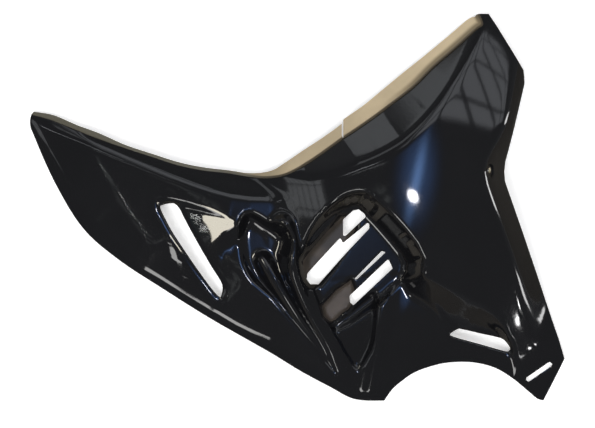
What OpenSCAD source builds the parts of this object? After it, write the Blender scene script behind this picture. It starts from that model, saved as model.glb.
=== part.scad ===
// Side fairing panel of a motorcycle, moulded in one piece and lying painted side up.
// X runs from the wing tip to the rear edge, Y up to the top tip, Z away from the floor.
// The skin is a height over the plan: ridges and a crown rise from it, pockets sink into it.

/* [Panel] */
// Length from the wing tip to the rear corner
panel_l = 738; // [600:1:900]
// Thickness of the moulded wall
wall = 3; // [2.4:0.1:4]
// Height of the crown over the ground plane of the form
crown_h = 92; // [80:1:100]

/* [Upper edge flange] */
// Step down from the painted skin to the bare flange
flange_step = 3; // [1:0.5:5]
// Width of the relief slit in the flange
slit_w = 2; // [1:0.5:4]

/* [Vent] */
// Depth of the duct wall behind the vent's upper edge
duct_drop = 16; // [8:1:20]

/* [Pockets] */
// Depth of the leaf pocket under the vent
leaf_depth = 8; // [4:1:12]
// Depth that the rims of the air slots roll in
slot_lip = 5; // [2:0.5:7]

/* [Fixings] */
// Diameter of the fixing hole at the rear edge
fixing_d = 6.6; // [5:0.1:9]
// Diameter of the round seat around the fixing hole
seat_d = 18; // [14:1:24]
// Depth of the seat below the painted skin
seat_depth = 1.5; // [1:0.5:2]
// Width of the adjusting slot in the rear corner
adjust_w = 6.5; // [5:0.5:9]

/* [Hidden] */

drawn_l = 738;
plan = panel_l / drawn_l;
far = 1000;

// Stations along the panel: flange edge, painted edge and lower edge
flange_edge = plan * [
    [-364, 132], [-336, 127], [-303, 113], [-273, 102], [-237, 86], [-198, 73],
    [-163, 62], [-129, 55], [-95, 51], [-65, 47], [-37, 50], [-17, 61],
    [8, 78], [37, 97], [60, 114], [64, 121], [91, 140], [120, 164],
    [148, 187], [178, 211], [208, 236], [235, 259], [245, 263], [247, 266]];
painted_edge = plan * [
    [-367, 128], [-339, 120], [-306, 107], [-276, 95], [-239, 82], [-199, 69],
    [-165, 58], [-131, 51], [-96, 47], [-66, 42], [-40, 40], [-13, 45],
    [19, 63], [49, 84], [64, 95], [75, 102], [104, 122], [132, 143],
    [160, 165], [187, 192], [216, 217], [245, 243], [256, 252], [251, 267]];
lower_edge = plan * [
    [-368, 109], [-336, 36], [-297, -28], [-250, -70], [-188, -111], [-126, -150],
    [-79, -177], [-35, -202], [4, -226], [45, -248], [79, -265], [120, -267],
    [132, -250], [150, -235], [161, -228], [175, -222], [201, -215], [228, -213],
    [250, -215], [274, -222], [297, -236], [319, -254], [331, -264], [340, -267]];
arch_corner = 11;
// Columns of the skin from each station to the next, and its rows down to the lower edge
steps = [2, 2, 3, 3, 3, 4, 4, 4, 4, 4, 4, 4, 4, 2, 2, 3, 3, 3, 3, 3, 2, 1, 1];
rows = 32;

// Rear edge: row number, then its place
rear_edge = [
    [0, 251, 267], [1, 264, 267], [2, 274, 252], [6, 300, 209], [8, 312, 189],
    [9, 313, 180], [14, 298, 118], [18, 286, 69], [19, 284, 50], [20, 285, 35],
    [23, 302, -13], [26, 335, -107], [28, 361, -182], [29, 369, -209], [32, 340, -267]];
rear_bias = 4;
tip_bulge = 6 * plan;
tip_bias = 20;

// Lines of the form: place, then height or slope there
ground_line = [
    [-380, 130, 2], [-243, 24, 18], [-92, -75, 26], [72, -120, 36], [223, -165, 26], [360, -229, 8]];
ridge_line = [
    [-369, 121, 2, 0.26], [-333, 104, 12, 0.26], [-274, 80, 26, 0.27], [-202, 50, 40, 0.28],
    [-146, 28, 49, 0.24], [-89, 11, 56, 0.12], [-37, 7, 60, 0.05], [17, 14, 64, 0.03],
    [65, 35, 66, 0.03], [120, 58, 52, 0.1]];
shoulder_line = [
    [-270, -75, 18, 0.3], [-188, -26, 34, 0.3], [-126, -7, 46, 0.35], [-85, -8, 51, 0.7],
    [-65, -8, 53, 1.6], [-43, -20, 55, 2.2], [-10, -42, 56, 2.4], [17, -45, 57, 2.4],
    [58, -50, 58, 2.4], [141, -59, 60, 2.4]];
upper_facet_line = [
    [285, 281, 2, 0.9], [256, 252, 9, 1], [189, 193, 26, 1], [116, 130, 38, 1],
    [61, 93, 42, 1], [8, 56, 42, 1], [-46, 43, 38, 1]];
scoop_line = [
    [100, -75, 84, 3], [135, -72, 84, 3], [157, -78, 82, 2.2], [176, -96, 79, 1.5],
    [220, -116, 71, 1], [259, -135, 59, 0.95], [278, -155, 48, 1.2], [289, -176, 37, 2.2],
    [298, -196, 27, 2.2], [302, -223, 16, 2]];
rear_fold_line = [
    [311, 229, 0.5], [294, 154, 0.7], [284, 112, 0.9], [266, 80, 1.1], [255, 50, 1.1], [265, 10, 1],
    [280, -31, 0.9], [294, -75, 0.7], [308, -127, 0.5], [323, -175, 0.35], [343, -237, 0.2]];
lower_fold_line = [
    [-366, 133], [-351, 96], [-311, 24], [-295, -9], [-250, -53], [-224, -78],
    [-189, -98], [-85, -161], [-40, -182], [17, -212], [65, -242]];
wing_fold_line = [[-281, 78], [-246, 17], [-202, -52], [-133, -113], [-100, -144]];
tongue_line = [
    [-18, -26, 56], [-11, -59, 55], [-7, -86, 51], [2, -116, 44], [23, -155, 34],
    [48, -193, 24], [69, -229, 11]];
fin_line = [[-47, -72, 32], [-31, -98, 37], [1, -150, 31], [38, -202, 20], [60, -237, 9]];
web_line = [[156, -78, 66], [182, -119, 48], [209, -164, 29]];
low_rib_line = [[124, -94], [117, -141], [113, -189], [102, -253]];

// Ridges: slope of the flanks, and round of the crest
web_flanks = [1.8, 4];
tongue_flanks = [1.7, 12];
fin_flanks = [1.4, 5];

// Outlines of the pockets, clockwise
vent_outline = [
    [6, -50], [31, -16], [60, 4], [80, 10], [94, 3], [132, -38], [157, -75], [146, -107],
    [102, -144], [53, -176], [34, -157], [15, -111], [5, -78]];
duct_outline = [[8, -78], [14, -65], [60, -14], [80, -20], [70, -50], [28, -105], [13, -100]];
sump_outline = [[34, -136], [74, -100], [76, -132], [62, -146], [46, -158]];
wing_pocket = [
    [-188, 13], [-163, 14], [-126, 6], [-85, -9], [-76, -19], [-84, -37], [-85, -56],
    [-80, -78], [-68, -101], [-81, -127], [-95, -139], [-111, -130], [-147, -83], [-191, -7]];
centre_pocket = [
    [-74, -15], [-63, -8], [-43, -20], [-26, -31], [-15, -45], [-20, -65], [-21, -89],
    [-11, -113], [6, -144], [31, -182], [56, -226], [45, -226], [23, -196], [-2, -163],
    [-35, -124], [-61, -104], [-76, -79], [-81, -56], [-80, -35]];
leaf_pocket = [
    [49, -163], [75, -141], [101, -120], [108, -127], [104, -182], [95, -205],
    [83, -223], [71, -207], [58, -185]];

// Floors of the pockets: height over the middle of the plan, then slope along X and Y
vent_floor = [35.5, 0, 0.075];
wing_floor = [56, 0.187, 0.11];
centre_floor = [22.5, 0, 0.05];

// Walls of the pockets: slope, inset from the outline, and round at the foot
vent_walls = [2.4, 7, 10];
wing_walls = [1.8, 9, 10];
centre_walls = [1.7, 7, 10];

// Pressings: depth where it is fixed, and the width over which each one falls
sump_depth = 12;
sump_run = 8;
leaf_run = 10;
duct_run = 14;
lip_run = 14;

// Large forms: slopes, and rounds where a slope begins
ground_fall = 0.2;
ground_round = 30;
rib_rise = 5;
rib_half_w = 11;
roof_fall = 0.75;
roof_round = 7;
wing_fold_fall = 0.16;
wing_fold_round = 12;
rear_fold_round = 14;
lower_fold_fall = 0.38;
lower_fold_round = 7;
crown_at = [158.5, 15.3];
crown_bend = [0.00176, 0.00101, 0.00051];

// Widths over which neighbouring forms run together
broad_blend = 16;
bulge_blend = 14;
facet_blend = 12;
pocket_blend = 10;
scoop_blend = 8;
crest_blend = 6;

// Outlines of the openings, clockwise
wing_slot = [
    [-188, -2], [-185, 3], [-177, 5], [-169, 5], [-162, -2], [-157, -12], [-146, -33], [-132, -58],
    [-118, -82], [-106, -101], [-103, -111], [-105, -122], [-108, -123], [-118, -112],
    [-132, -93], [-146, -73], [-160, -52], [-174, -30]];
low_slot = [
    [211, -174], [220, -168], [227, -168], [253, -174], [279, -180], [287, -185], [293, -194],
    [291, -198], [285, -198], [250, -188], [215, -178]];
vent_top = [[63, -17], [76, -5], [84, -3], [92, -9], [94, -13], [67, -39], [63, -40]];
vent_upper = [
    [98, -20], [99, -29], [66, -64], [29, -106], [18, -106], [13, -99], [14, -91],
    [59, -42], [63, -49], [67, -46]];
vent_sliver = [[77, -100], [116, -60], [121, -62], [82, -99]];
vent_lower = [[72, -122], [125, -71], [131, -84], [77, -135], [73, -131]];
adjust_ends = [[319, -237], [348, -217]];
fixing_at = [263, 50];
slit_at = [62, 97];
slit_l = 30;
vent_corner = 2;
sliver_corner = 1;
cut_reach = 150;
seat_wall = 4;
boss_rim = 2;
bore_reach = 20;

// Blends
function soft_min(a, b, r) = let (h = max(r - abs(a - b), 0) / r) min(a, b) - h * h * h * r / 6;
function soft_max(a, b, r) = -soft_min(-a, -b, r);
function ease(t) = let (k = max(0, min(1, t))) k * k * (3 - 2 * k);
function mix(a, b, t) = a + (b - a) * t;
function sum_to(list, n) = n == 0 ? 0 : list[n - 1] + sum_to(list, n - 1);

// Smooth curve through a list of points
function curve_at(a, b, c, d, t) =
    (2 * b + (c - a) * t + (2 * a - 5 * b + 4 * c - d) * t * t + (3 * b - a - 3 * c + d) * t * t * t) / 2;
function pick(points, i, closed) =
    closed ? points[(i + len(points)) % len(points)] : points[max(0, min(len(points) - 1, i))];
function curve(points, steps, closed = false) = [
    for (i = [0 : len(points) - (closed ? 1 : 2)])
        let (n = is_list(steps) ? steps[i] : steps)
        for (k = [0 : n - 1])
            curve_at(pick(points, i - 1, closed), pick(points, i, closed),
                pick(points, i + 1, closed), pick(points, i + 2, closed), k / n),
    if (!closed) points[len(points) - 1]];
function from_to(list, a, b) = [for (i = [a : 1 : b]) list[i]];

// A line in the plan, with the circle outside which it counts for nothing
function scaled(q) = [q.x * plan, q.y * plan, each [for (i = [2 : 1 : len(q) - 1]) q[i]]];
function line(points, reach, closed = false) =
    let (open = curve([for (q = points) scaled(q)], 2, closed),
        path = closed ? concat(open, [open[0]]) : open,
        xs = [for (q = path) q.x],
        ys = [for (q = path) q.y],
        middle = [min(xs) + max(xs), min(ys) + max(ys)] / 2)
    [path, middle, norm([max(xs) - min(xs), max(ys) - min(ys)]) / 2 + reach];

// Signed distance to the nearest piece of a line, positive on its left, and the line's values there
function piece(p, a, b, low, high) =
    let (e = [b.x - a.x, b.y - a.y],
        q = [p.x - a.x, p.y - a.y],
        t = (q * e) / (e * e),
        away = q - max(low, min(high, t)) * e)
    [norm(away), e.x * q.y - e.y * q.x < 0 ? -1 : 1, t];
function near(p, path, run_on = false) =
    let (last = len(path) - 2,
        hits = [for (i = [0 : last])
            piece(p, path[i], path[i + 1],
                run_on && i == 0 ? -far : 0, run_on && i == last ? far : 1)],
        best = min([for (h = hits) h[0]]),
        i = search(best, hits, 1, 0)[0],
        at = mix(path[i], path[i + 1], max(0, min(1, hits[i][2]))))
    [best * hits[i][1], at[2], at[3]];
function reached(p, l) = norm([p.x, p.y] - l[1]) < l[2];

// Forms: a ridge with round crest, a slope from an edge, a fold and a pocket
function rounded(d, round) = sqrt(d * d + round * round) - round;
function ridge(p, l, flanks) =
    !reached(p, l) ? -far :
    let (n = near(p, l[0])) n[1] - flanks[0] * rounded(n[0], flanks[1]);
function edge_slope(p, l) = let (n = near(p, l[0], true)) n[1] + n[2] * n[0];
function pocket(p, l, floor, walls) =
    !reached(p, l) ? far :
    floor[0] + floor[1] * p.x + floor[2] * p.y
        + walls[0] * soft_max(0, near(p, l[0])[0] + walls[1], walls[2]);
function sink(p, l, depth, width) =
    !reached(p, l) ? 0 : depth * ease(0.5 - near(p, l[0])[0] / width);

ground = line(ground_line, far);
spine = line(ridge_line, far);
shoulder = line(shoulder_line, far);
upper_facet = line(upper_facet_line, far);
scoop = line(scoop_line, far);
rear_fold = line(rear_fold_line, far);
lower_fold = line(lower_fold_line, far);
wing_fold = line(wing_fold_line, far);
tongue = line(tongue_line, 40);
fin = line(fin_line, 30);
web = line(web_line, 30);
low_rib = line(low_rib_line, 40);
vent = line(vent_outline, 40, true);
duct = line(duct_outline, 20, true);
sump = line(sump_outline, 20, true);
wing = line(wing_pocket, 40, true);
centre = line(centre_pocket, 40, true);
leaf = line(leaf_pocket, 20, true);
wing_rim = line(wing_slot, 20, true);
low_rim = line(low_slot, 20, true);

function crown(p) =
    let (d = [p.x, p.y] / plan - crown_at)
    crown_h - crown_bend * [d.x * d.x, d.y * d.y, d.x * d.y];

function ground_height(p) =
    let (n = near(p, ground[0]),
        rib = reached(p, low_rib) ? exp(-pow(near(p, low_rib[0])[0] / rib_half_w, 2)) : 0)
    n[1] - ground_fall * rounded(n[0], ground_round) + rib_rise * rib;

function wing_height(p) =
    let (n = near(p, spine[0]),
        fold = near(p, wing_fold[0], true)[0],
        roof = n[1] - (n[0] > 0 ? roof_fall : n[2]) * rounded(n[0], roof_round),
        folded = roof - wing_fold_fall * soft_max(0, fold, wing_fold_round))
    soft_min(folded, edge_slope(p, shoulder), scoop_blend);

function bulge_height(p) =
    let (n = near(p, rear_fold[0], true),
        top = soft_min(crown(p), edge_slope(p, upper_facet), facet_blend))
    soft_min(top, edge_slope(p, scoop), scoop_blend) - n[1] * soft_max(0, n[0], rear_fold_round);

function high_forms(p) =
    soft_max(
        soft_max(ground_height(p), wing_height(p), broad_blend),
        bulge_height(p), bulge_blend);
function skin(p) =
    let (webbed = soft_max(high_forms(p), ridge(p, web, web_flanks), crest_blend),
        vented = soft_min(webbed, pocket(p, vent, vent_floor, vent_walls), pocket_blend),
        tongued = soft_max(vented, ridge(p, tongue, tongue_flanks), pocket_blend),
        scooped = soft_min(tongued, pocket(p, wing, wing_floor, wing_walls), pocket_blend),
        hollow = soft_min(scooped, pocket(p, centre, centre_floor, centre_walls), pocket_blend),
        finned = soft_max(hollow, ridge(p, fin, fin_flanks), crest_blend),
        below = soft_max(0, -near(p, lower_fold[0], true)[0], lower_fold_round))
    finned - lower_fold_fall * below
        - sink(p, leaf, leaf_depth, leaf_run) - sink(p, duct, duct_drop, duct_run)
        - sink(p, sump, sump_depth, sump_run)
        - sink(p, wing_rim, slot_lip, lip_run) - sink(p, low_rim, slot_lip, lip_run);

// Plan of the skin: columns follow the stations, rows run from the painted edge to the lower edge
last_span = len(steps) - 1;
edge_flange = curve(flange_edge, steps);
edge_painted = curve(painted_edge, steps);
edge_lower = concat(
    from_to(curve(from_to(lower_edge, 0, arch_corner), from_to(steps, 0, arch_corner - 1)), 0,
        sum_to(steps, arch_corner) - 1),
    curve(from_to(lower_edge, arch_corner, last_span + 1), from_to(steps, arch_corner, last_span)));
last_column = len(edge_painted) - 1;

function rear_at(j) =
    let (k = max([for (i = [0 : len(rear_edge) - 2]) if (rear_edge[i][0] <= j) i]),
        a = rear_edge[k],
        b = rear_edge[k + 1],
        t = (j - a[0]) / (b[0] - a[0]))
    plan * mix([a[1], a[2]], [b[1], b[2]], t);
function plan_point(i, j) =
    let (u = i / last_column,
        v = j / rows,
        rear_pull = rear_at(j) - mix(edge_painted[last_column], edge_lower[last_column], v),
        tip_pull = [-tip_bulge * v * (1 - v), 0])
    mix(edge_painted[i], edge_lower[i], v)
        + pow(u, rear_bias) * rear_pull + pow(1 - u, tip_bias) * tip_pull;

// Skin rows: two on the flange, its foot under the step, then the painted rows
flange_rows = 3;
last_row = rows + flange_rows;
step_run = 1.2;
full_step_w = 12;
flange_fall = 0.35;
function flange_point(i, r) =
    let (w = norm(edge_flange[i] - edge_painted[i]),
        foot = min(0.5, step_run / w),
        drop = flange_step * min(1, w / full_step_w),
        t = [1, 0.5, 0][r] * (1 - foot) + foot,
        q = mix(edge_painted[i], edge_flange[i], t))
    [q.x, q.y, skin(edge_painted[i]) - drop - flange_fall * (t - foot) * w];
function skin_point(i, r) =
    r < flange_rows
        ? flange_point(i, r)
        : let (q = plan_point(i, r - flange_rows)) [q.x, q.y, skin(q)];
form = [for (i = [0 : last_column]) [for (r = [0 : last_row]) skin_point(i, r)]];

// Height of the wall, so that it keeps its thickness where the skin is steep
steepest = 2.2;
level = 0.001;
function upright_wall(i, r) =
    let (across = form[min(i + 1, last_column)][r] - form[max(i - 1, 0)][r],
        along = form[i][min(r + 1, last_row)] - form[i][max(r - 1, 0)],
        n = cross(across, along))
    wall * min(steepest, norm(n) / max(abs(n.z), level));

// The panel is set down on three points of its rim, and its box is centred on the origin
rest_points = [for (k = [[sum_to(steps, 2), last_row], [last_column, last_row], [last_column, 0]])
    form[k[0]][k[1]] - [0, 0, upright_wall(k[0], k[1])]];
rest_normal = cross(rest_points[1] - rest_points[0], rest_points[2] - rest_points[0]);
function rest_height(p) =
    rest_points[0].z - (rest_normal.x * (p.x - rest_points[0].x)
        + rest_normal.y * (p.y - rest_points[0].y)) / rest_normal.z;
all_x = [for (c = form, q = c) q.x];
all_y = [for (c = form, q = c) q.y];
centre_at = [min(all_x) + max(all_x), min(all_y) + max(all_y)] / 2;
function set_down(q) = [q.x - centre_at.x, q.y - centre_at.y, q.z - rest_height(q)];

outer = [for (c = form, q = c) set_down(q)];
inner = [for (i = [0 : last_column], r = [0 : last_row])
    set_down(form[i][r]) - [0, 0, upright_wall(i, r)]];

function at(i, r) = i * (last_row + 1) + r;
under = len(outer);
function split(a, b, c, d) =
    abs(outer[a].z - outer[c].z) < abs(outer[b].z - outer[d].z)
        ? [[a, b, c], [a, c, d]]
        : [[a, b, d], [b, c, d]];
skin_faces = [for (i = [0 : last_column - 1], r = [0 : last_row - 1])
    each split(at(i, r), at(i + 1, r), at(i + 1, r + 1), at(i, r + 1))];
back_faces = [for (f = skin_faces) [f[2] + under, f[1] + under, f[0] + under]];
function rim(a, b) = [[a, b, b + under], [a, b + under, a + under]];
rim_faces = [
    for (i = [0 : last_column - 1]) each rim(at(i + 1, 0), at(i, 0)),
    for (i = [0 : last_column - 1]) each rim(at(i, last_row), at(i + 1, last_row)),
    for (r = [0 : last_row - 1]) each rim(at(0, r), at(0, r + 1)),
    for (r = [0 : last_row - 1]) each rim(at(last_column, r + 1), at(last_column, r))];

module shell() {
    polyhedron(
        points = concat(outer, inner),
        faces = concat(skin_faces, back_faces, rim_faces),
        convexity = 10);
}

// Cuts straight down through the skin, given in the plan
module down_cut() {
    translate([-centre_at.x, -centre_at.y, -cut_reach])
        linear_extrude(height = 2 * cut_reach)
            children();
}

module round_cornered(points, round) {
    offset(r = round)
        offset(delta = -round)
            polygon(points * plan);
}

module slot_plan(a, b, w) {
    run = b - a;
    for (q = [a, b])
        translate(q) circle(d = w, $fn = 48);
    translate(a)
        rotate(atan2(run.y, run.x))
            translate([0, -w / 2])
                square([norm(run), w]);
}

module openings() {
    down_cut() polygon(curve(wing_slot * plan, 2, true));
    down_cut() polygon(curve(low_slot * plan, 2, true));
    down_cut() round_cornered(vent_top, vent_corner);
    down_cut() round_cornered(vent_upper, vent_corner);
    down_cut() round_cornered(vent_sliver, sliver_corner);
    down_cut() round_cornered(vent_lower, vent_corner);
    down_cut() slot_plan(adjust_ends[0] * plan, adjust_ends[1] * plan, adjust_w);
    down_cut()
        translate([slit_at.x * plan - slit_w / 2, slit_at.y * plan])
            square([slit_w, slit_l]);
}

// The fixing hole stands square to the skin, in a flat seat with a boss behind it
probe = 4;
function slope_at(p, d) = (skin(p + d) - skin(p - d)) / (2 * norm(d));
module square_to_skin(p) {
    place = set_down([p.x, p.y, skin(p)]);
    lean = [-slope_at(p, [probe, 0]), -slope_at(p, [0, probe])];
    translate(place)
        rotate([0, atan(norm(lean)), atan2(lean.y, lean.x)])
            children();
}

module fixing_boss() {
    square_to_skin(fixing_at * plan)
        translate([0, 0, -seat_depth - seat_wall])
            cylinder(d = seat_d + 2 * boss_rim, h = seat_wall, $fn = 64);
}

module fixing_cut() {
    square_to_skin(fixing_at * plan) {
        translate([0, 0, -seat_depth])
            cylinder(d = seat_d, h = bore_reach, $fn = 64);
        translate([0, 0, -bore_reach])
            cylinder(d = fixing_d, h = 2 * bore_reach, $fn = 64);
    }
}

module fairing_panel() {
    color([0.09, 0.09, 0.1])
        difference() {
            union() {
                shell();
                fixing_boss();
            }
            openings();
            fixing_cut();
        }
}

fairing_panel();
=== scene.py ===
"""Side fairing panel of a motorcycle: one moulded shell, black lacquer outside, bare plastic behind.

The skin is a height over the plan, as in the part's source: ridges and a crown rise from a low roof,
pockets sink into it. All places are in millimetres until a mesh is made, and in metres after that.
"""
import math

import bpy
import numpy as np
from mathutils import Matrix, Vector


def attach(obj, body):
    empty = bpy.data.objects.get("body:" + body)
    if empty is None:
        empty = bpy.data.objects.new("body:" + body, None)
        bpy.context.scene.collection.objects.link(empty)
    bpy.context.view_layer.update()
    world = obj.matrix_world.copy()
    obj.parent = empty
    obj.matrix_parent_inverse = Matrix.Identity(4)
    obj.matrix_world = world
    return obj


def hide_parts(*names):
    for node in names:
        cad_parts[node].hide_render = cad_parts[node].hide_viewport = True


bl_info = {
    "name": "Side fairing panel",
    "version": (1, 0, 0),
    "blender": (4, 5, 0),
    "location": "3D View > Sidebar > Fairing",
    "description": "Builds a lacquered side fairing panel with its vent, slots and fixing places",
    "category": "Object",
}

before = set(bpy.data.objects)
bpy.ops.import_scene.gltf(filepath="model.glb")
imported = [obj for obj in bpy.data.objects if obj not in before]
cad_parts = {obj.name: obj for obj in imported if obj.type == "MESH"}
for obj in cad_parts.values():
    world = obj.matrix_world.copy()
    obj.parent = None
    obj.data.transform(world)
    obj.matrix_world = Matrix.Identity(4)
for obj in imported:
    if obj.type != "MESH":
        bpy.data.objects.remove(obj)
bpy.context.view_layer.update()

MM = 0.001
NODE = "fairing_panel"

# Farther than any place on the panel, and smaller than any size that counts
FAR = 1e6
TINY = 1e-6

# Stations along the panel: flange edge, painted edge and lower edge
FLANGE_EDGE = [
    (-364, 132), (-336, 127), (-303, 113), (-273, 102), (-237, 86), (-198, 73),
    (-163, 62), (-129, 55), (-95, 51), (-65, 47), (-37, 50), (-17, 61),
    (8, 78), (37, 97), (60, 114), (64, 121), (91, 140), (120, 164),
    (148, 187), (178, 211), (208, 236), (235, 259), (245, 263), (247, 266)]
PAINTED_EDGE = [
    (-367, 128), (-339, 120), (-306, 107), (-276, 95), (-239, 82), (-199, 69),
    (-165, 58), (-131, 51), (-96, 47), (-66, 42), (-40, 40), (-13, 45),
    (19, 63), (49, 84), (64, 95), (75, 102), (104, 122), (132, 143),
    (160, 165), (187, 192), (216, 217), (245, 243), (256, 252), (251, 267)]
LOWER_EDGE = [
    (-368, 109), (-336, 36), (-297, -28), (-250, -70), (-188, -111), (-126, -150),
    (-79, -177), (-35, -202), (4, -226), (45, -248), (79, -265), (120, -267),
    (132, -250), (150, -235), (161, -228), (175, -222), (201, -215), (228, -213),
    (250, -215), (274, -222), (297, -236), (319, -254), (331, -264), (340, -267)]
ARCH_CORNER = 11
STEPS = [2, 2, 3, 3, 3, 4, 4, 4, 4, 4, 4, 4, 4, 2, 2, 3, 3, 3, 3, 3, 2, 1, 1]

# Rear edge: share of the way from the painted edge to the lower edge in 32 parts, then its place
REAR_EDGE = [
    (0, 251, 267), (1, 264, 267), (2, 274, 252), (6, 300, 209), (8, 312, 189),
    (9, 313, 180), (14, 298, 118), (18, 286, 69), (19, 284, 50), (20, 285, 35),
    (23, 302, -13), (26, 335, -107), (28, 361, -182), (29, 369, -209), (32, 340, -267)]
REAR_PARTS = 32

# How sharply the rear edge's pull and the tip's bulge keep to their ends, and the bulge itself
REAR_BIAS = 4
TIP_BIAS = 20
TIP_BULGE = 6
TIP_SHARES = (0.75, 0.5, 0.25)

# The bare flange: its rows from the edge inwards, and how it steps down and falls away
FLANGE_ROWS = (1, 0.8, 0.6, 0.4, 0.2, 0)
STEP_RUN = 1.2
FULL_STEP = 12
FLANGE_FALL = 0.35

# Lines of the form: place, then height or slope there
GROUND = [
    (-380, 130, 2), (-243, 24, 18), (-92, -75, 26), (72, -120, 36), (223, -165, 26), (360, -229, 8)]
SPINE = [
    (-369, 121, 2, 0.26), (-333, 104, 12, 0.26), (-274, 80, 26, 0.27), (-202, 50, 40, 0.28),
    (-146, 28, 49, 0.24), (-89, 11, 56, 0.12), (-37, 7, 60, 0.05), (17, 14, 64, 0.03),
    (65, 35, 66, 0.03), (120, 58, 52, 0.1)]
SHOULDER = [
    (-270, -75, 18, 0.3), (-188, -26, 34, 0.3), (-126, -7, 46, 0.35), (-85, -8, 51, 0.7),
    (-65, -8, 53, 1.6), (-43, -20, 55, 2.2), (-10, -42, 56, 2.4), (17, -45, 57, 2.4),
    (58, -50, 58, 2.4), (141, -59, 60, 2.4)]
UPPER_FACET = [
    (285, 281, 2, 0.9), (256, 252, 9, 1), (189, 193, 26, 1), (116, 130, 38, 1),
    (61, 93, 42, 1), (8, 56, 42, 1), (-46, 43, 38, 1)]
SCOOP = [
    (100, -75, 84, 3), (135, -72, 84, 3), (157, -78, 82, 2.2), (176, -96, 79, 1.5),
    (220, -116, 71, 1), (259, -135, 59, 0.95), (278, -155, 48, 1.2), (289, -176, 37, 2.2),
    (298, -196, 27, 2.2), (302, -223, 16, 2)]
REAR_FOLD = [
    (311, 229, 0.5), (294, 154, 0.7), (284, 112, 0.9), (266, 80, 1.1), (255, 50, 1.1), (265, 10, 1),
    (280, -31, 0.9), (294, -75, 0.7), (308, -127, 0.5), (323, -175, 0.35), (343, -237, 0.2)]
LOWER_FOLD = [
    (-366, 133), (-351, 96), (-311, 24), (-295, -9), (-250, -53), (-224, -78),
    (-189, -98), (-85, -161), (-40, -182), (17, -212), (65, -242)]
WING_FOLD = [(-281, 78), (-246, 17), (-202, -52), (-133, -113), (-100, -144)]
TONGUE = [
    (-18, -26, 56), (-11, -59, 55), (-7, -86, 51), (2, -116, 44), (23, -155, 34),
    (48, -193, 24), (69, -229, 11)]
FIN = [(-47, -72, 32), (-31, -98, 37), (1, -150, 31), (38, -202, 20), (60, -237, 9)]
WEB = [(156, -78, 66), (182, -119, 48), (209, -164, 29)]
LOW_RIB = [(124, -94), (117, -141), (113, -189), (102, -253)]

# Outlines of the pockets, clockwise
VENT = [
    (6, -50), (31, -16), (60, 4), (80, 10), (94, 3), (132, -38), (157, -75), (146, -107),
    (102, -144), (53, -176), (34, -157), (15, -111), (5, -78)]
DUCT = [(8, -78), (14, -65), (60, -14), (80, -20), (70, -50), (28, -105), (13, -100)]
SUMP = [(34, -136), (74, -100), (76, -132), (62, -146), (46, -158)]
WING_POCKET = [
    (-188, 13), (-163, 14), (-126, 6), (-85, -9), (-76, -19), (-84, -37), (-85, -56),
    (-80, -78), (-68, -101), (-81, -127), (-95, -139), (-111, -130), (-147, -83), (-191, -7)]
CENTRE_POCKET = [
    (-74, -15), (-63, -8), (-43, -20), (-26, -31), (-15, -45), (-20, -65), (-21, -89),
    (-11, -113), (6, -144), (31, -182), (56, -226), (45, -226), (23, -196), (-2, -163),
    (-35, -124), (-61, -104), (-76, -79), (-81, -56), (-80, -35)]
LEAF = [
    (49, -163), (75, -141), (101, -120), (108, -127), (104, -182), (95, -205),
    (83, -223), (71, -207), (58, -185)]

# Outlines of the openings, clockwise
WING_SLOT = [
    (-188, -2), (-185, 3), (-177, 5), (-169, 5), (-162, -2), (-157, -12), (-146, -33), (-132, -58),
    (-118, -82), (-106, -101), (-103, -111), (-105, -122), (-108, -123), (-118, -112),
    (-132, -93), (-146, -73), (-160, -52), (-174, -30)]
LOW_SLOT = [
    (211, -174), (220, -168), (227, -168), (253, -174), (279, -180), (287, -185), (293, -194),
    (291, -198), (285, -198), (250, -188), (215, -178)]
VENT_TOP = [(63, -17), (76, -5), (84, -3), (92, -9), (94, -13), (67, -39), (63, -40)]
VENT_UPPER = [
    (98, -20), (99, -29), (66, -64), (29, -106), (18, -106), (13, -99), (14, -91),
    (59, -42), (63, -49), (67, -46)]
VENT_SLIVER = [(77, -100), (116, -60), (121, -62), (82, -99)]
VENT_LOWER = [(72, -122), (125, -71), (131, -84), (77, -135), (73, -131)]
ADJUST_SLOT = [(319, -237), (348, -217)]
FIXING_AT = (263, 50)
SLIT_X = 62
SLIT_FOOT = 97

# How far the forms fall for each millimetre beside their lines, and how round their crests are
GROUND_FALL = 0.2
GROUND_ROUND = 30
ROOF_FALL = 0.75
ROOF_ROUND = 7
WING_FOLD_FALL = 0.16
WING_FOLD_ROUND = 12
REAR_FOLD_ROUND = 14
LOWER_FOLD_FALL = 0.38
LOWER_FOLD_ROUND = 7
FLANKS = {"web": (1.8, 4), "tongue": (1.7, 12), "fin": (1.4, 5)}

# The low rib's height and half its width
RIB_RISE = 5
RIB_HALF_W = 11

# The crown's middle, and how it bends along the panel, across it and between the two
CROWN_AT = (158.5, 15.3)
CROWN_BEND = (0.00176, 0.00101, 0.00051)

# How softly neighbouring forms run into each other
BROAD_BLEND = 16
BULGE_BLEND = 14
FACET_BLEND = 12
POCKET_BLEND = 10
SCOOP_BLEND = 8
CREST_BLEND = 6

# Pockets: the floor's height and its rise along and across, then the walls' slope, inset and foot
FLOORS = {"vent": (35.5, 0, 0.075), "wing": (56, 0.187, 0.11), "centre": (22.5, 0, 0.05)}
WALLS = {"vent": (2.4, 7, 10), "wing": (1.8, 9, 10), "centre": (1.7, 7, 10)}

# Areas that sink further: how deep, and over what width
SINKS = {"leaf": (8, 10), "duct": (16, 14), "sump": (12, 8), "wing_rim": (5, 14), "low_rim": (5, 14)}

# The three rim points that the panel stands on, before it is set down
REST_POINTS = [(-297, -28, -1.31984), (340, -267, 0.611004), (247, 266, -15.024)]

# The wall is measured upright, and is thickened on slopes up to this many times
STEEPEST = 2.2

# How round the corners of the vent's openings are
VENT_CORNER = 2
SLIVER_CORNER = 1

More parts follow.
